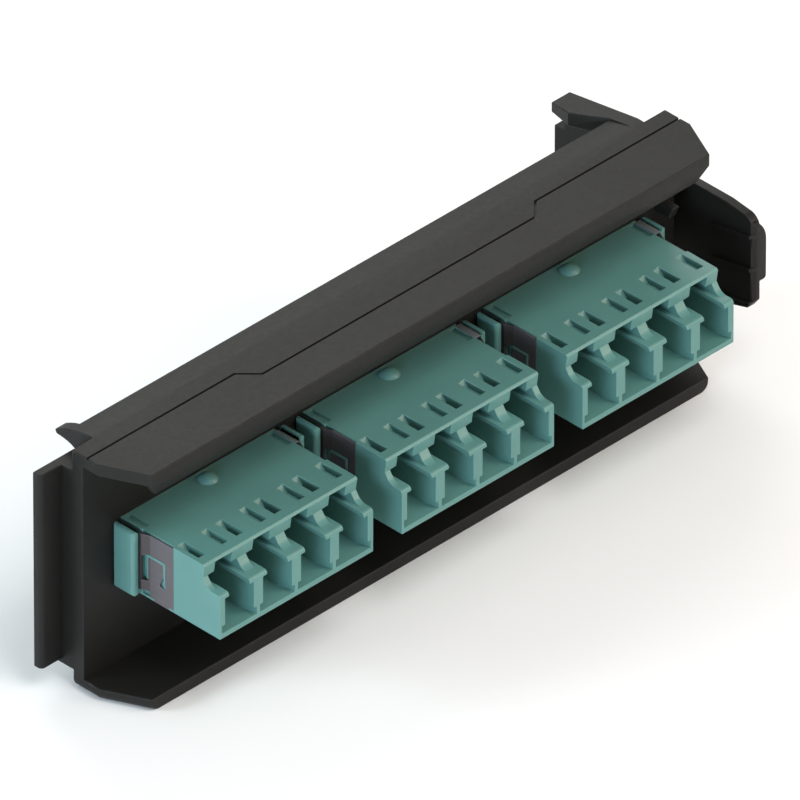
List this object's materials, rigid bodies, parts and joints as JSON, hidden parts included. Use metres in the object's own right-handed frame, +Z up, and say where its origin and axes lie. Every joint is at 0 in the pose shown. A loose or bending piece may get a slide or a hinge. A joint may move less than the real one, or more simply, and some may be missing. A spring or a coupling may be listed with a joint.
{
  "type": "fibre adapter plate",
  "caption": "Snap-in fibre adapter plate: a black visor panel with a row of aqua quad LC adapters, an end rail flange and a finger latch.",
  "frame": {"origin": "centre of the bottom lip's underside, midway along the plate", "axes": "+X along the plate towards the latch, +Y into the enclosure, away from the ports in the picture, +Z up"},
  "size_m": [0.1062, 0.0303, 0.0339],
  "materials": {
    "black_plastic": "fine matte moulding",
    "aqua_plastic": "satin moulding",
    "spring_steel": "rolled strip",
    "zirconia": "polished ceramic"
  },
  "bodies": {
    "plate": {"adapter_plate": "black_plastic", "front_housing_1": "aqua_plastic", "rear_housing_1": "aqua_plastic", "steel_clip_1": "spring_steel", "sleeve_1_1": "zirconia", "sleeve_1_2": "zirconia", "sleeve_1_3": "zirconia", "sleeve_1_4": "zirconia", "front_housing_2": "aqua_plastic", "rear_housing_2": "aqua_plastic", "steel_clip_2": "spring_steel", "sleeve_2_1": "zirconia", "sleeve_2_2": "zirconia", "sleeve_2_3": "zirconia", "sleeve_2_4": "zirconia", "front_housing_3": "aqua_plastic", "rear_housing_3": "aqua_plastic", "steel_clip_3": "spring_steel", "sleeve_3_1": "zirconia", "sleeve_3_2": "zirconia", "sleeve_3_3": "zirconia", "sleeve_3_4": "zirconia"},
    "latch": {"latch_lever": "black_plastic"}
  },
  "joints": [
    {"name": "latch_hinge", "type": "hinge", "parent": "plate", "child": "latch", "pos_m": [0.0479, 0.01533, 0.0155], "axis": [0, 0, 1], "range_deg": [-7, 0], "stiffness_Nm_per_rad": 0.25}
  ]
}
